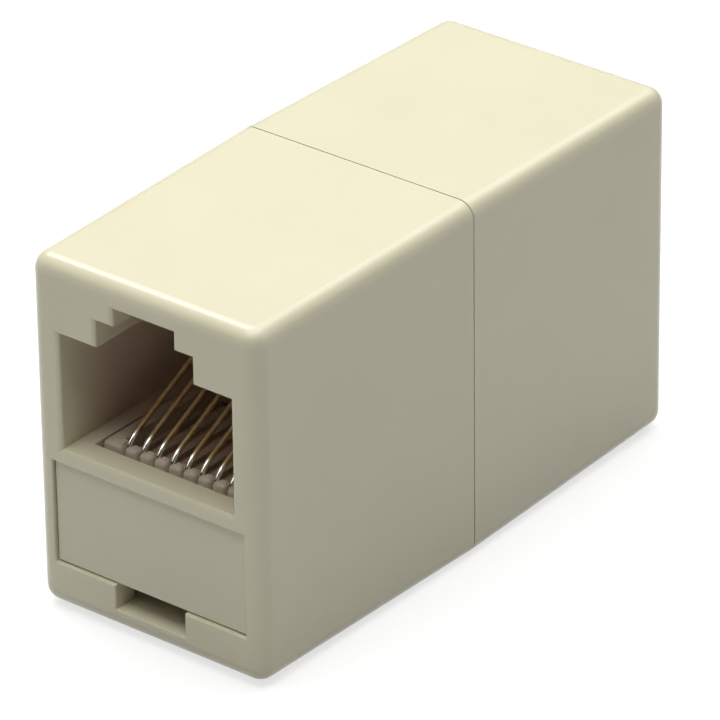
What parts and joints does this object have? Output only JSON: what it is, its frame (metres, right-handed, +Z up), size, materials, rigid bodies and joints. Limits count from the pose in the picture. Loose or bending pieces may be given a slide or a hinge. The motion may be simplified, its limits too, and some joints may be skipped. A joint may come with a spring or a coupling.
{
  "type": "rj45 inline coupler",
  "caption": "Small ivory plastic box with a latching modular port at each end that joins two network cords end to end.",
  "frame": {"origin": "middle of the underside, on the seam between the two half shells", "axes": "+Z up, with the ports' latch channels on top; the length runs along Y, the front port faces -Y and the rear port +Y; X is the width"},
  "size_m": [0.0162, 0.0366, 0.022],
  "materials": {
    "case_plastic": "satin moulded ivory plastic",
    "carrier_plastic": "moulded ivory-grey plastic",
    "contact_gold": "gold-plated spring wire",
    "crimp_tin": "tinned",
    "lead_blue": "soft insulation",
    "lead_orange": "soft insulation",
    "lead_black": "soft insulation",
    "lead_red": "soft insulation",
    "lead_green": "soft insulation",
    "lead_yellow": "soft insulation",
    "lead_brown": "soft insulation",
    "lead_grey": "soft insulation"
  },
  "bodies": {
    "root": {"front_shell": "case_plastic", "front_carrier": "carrier_plastic", "front_contact_1": "contact_gold", "front_crimp_1": "crimp_tin", "front_contact_2": "contact_gold", "front_crimp_2": "crimp_tin", "front_contact_3": "contact_gold", "front_crimp_3": "crimp_tin", "front_contact_4": "contact_gold", "front_crimp_4": "crimp_tin", "front_contact_5": "contact_gold", "front_crimp_5": "crimp_tin", "front_contact_6": "contact_gold", "front_crimp_6": "crimp_tin", "front_contact_7": "contact_gold", "front_crimp_7": "crimp_tin", "front_contact_8": "contact_gold", "front_crimp_8": "crimp_tin", "rear_shell": "case_plastic", "rear_carrier": "carrier_plastic", "rear_contact_1": "contact_gold", "rear_crimp_1": "crimp_tin", "rear_contact_2": "contact_gold", "rear_crimp_2": "crimp_tin", "rear_contact_3": "contact_gold", "rear_crimp_3": "crimp_tin", "rear_contact_4": "contact_gold", "rear_crimp_4": "crimp_tin", "rear_contact_5": "contact_gold", "rear_crimp_5": "crimp_tin", "rear_contact_6": "contact_gold", "rear_crimp_6": "crimp_tin", "rear_contact_7": "contact_gold", "rear_crimp_7": "crimp_tin", "rear_contact_8": "contact_gold", "rear_crimp_8": "crimp_tin", "lead_1": "lead_blue", "lead_2": "lead_orange", "lead_3": "lead_black", "lead_4": "lead_red", "lead_5": "lead_green", "lead_6": "lead_yellow", "lead_7": "lead_brown", "lead_8": "lead_grey"}
  },
  "joints": []
}
